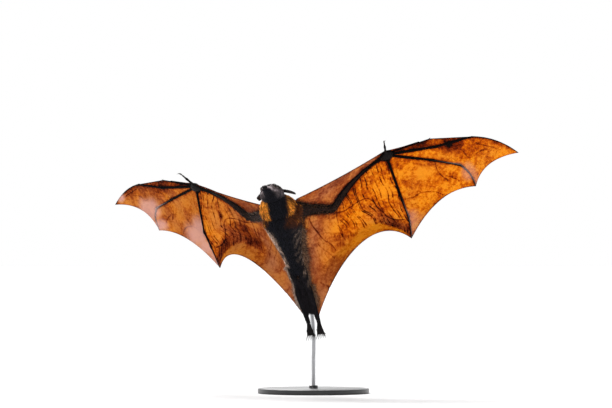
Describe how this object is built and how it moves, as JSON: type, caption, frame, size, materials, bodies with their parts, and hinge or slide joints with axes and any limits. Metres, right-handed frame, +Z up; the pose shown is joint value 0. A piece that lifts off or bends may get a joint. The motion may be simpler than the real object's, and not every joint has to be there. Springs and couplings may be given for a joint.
{
  "type": "flying fox bat display model",
  "caption": "Life-size flying fox bat in flight with spread translucent wings, held on a round display stand by one slim rod.",
  "frame": {"origin": "centre of the stand foot's underside, on the floor", "axes": "+Z up, +X along the span towards the bat's left wing, -Y towards the belly side"},
  "size_m": [0.8237, 0.4622, 0.5184],
  "materials": {
    "body_fur": "short black-brown fur with a soft sheen",
    "head_fur": "short grey-black fur, paler on the muzzle sides",
    "mantle_fur": "orange to russet fur collar round the neck",
    "membrane": "thin translucent orange-brown wing skin with dark veins and muscle strands",
    "dark_skin": "bare dark brown skin over the finger bones, ears and feet",
    "nose_skin": "moist black nose skin",
    "eye": "glossy dark brown eye",
    "claw": "polished dark horn",
    "stand_foot": "satin black disc",
    "stand_rod": "brushed stainless rod"
  },
  "bodies": {
    "root": {"stand_foot": "stand_foot", "stand_rod": "stand_rod", "trunk": "body_fur", "neck": "mantle_fur", "uropatagium": "body_fur", "head": "head_fur", "nose": "nose_skin", "eye_left": "eye", "ear_left": "dark_skin", "eye_right": "eye", "ear_right": "dark_skin", "thigh_left": "body_fur", "shank_left": "body_fur", "foot_left": "dark_skin", "claw_left_1": "claw", "claw_left_2": "claw", "claw_left_3": "claw", "claw_left_4": "claw", "claw_left_5": "claw", "thigh_right": "body_fur", "shank_right": "body_fur", "foot_right": "dark_skin", "claw_right_1": "claw", "claw_right_2": "claw", "claw_right_3": "claw", "claw_right_4": "claw", "claw_right_5": "claw", "upper_arm_left": "body_fur", "forearm_left": "body_fur", "wrist_left": "dark_skin", "thumb_left": "dark_skin", "thumb_claw_left": "claw", "index_left": "dark_skin", "index_claw_left": "claw", "digit3_left": "dark_skin", "digit4_left": "dark_skin", "digit5_left": "dark_skin", "web12_left": "membrane", "web23_left": "membrane", "web34_left": "membrane", "web45_left": "membrane", "propatagium_left": "membrane", "plagiopatagium_left": "membrane", "upper_arm_right": "body_fur", "forearm_right": "body_fur", "wrist_right": "dark_skin", "thumb_right": "dark_skin", "thumb_claw_right": "claw", "index_right": "dark_skin", "index_claw_right": "claw", "digit3_right": "dark_skin", "digit4_right": "dark_skin", "digit5_right": "dark_skin", "web12_right": "membrane", "web23_right": "membrane", "web34_right": "membrane", "web45_right": "membrane", "propatagium_right": "membrane", "plagiopatagium_right": "membrane"}
  },
  "joints": []
}
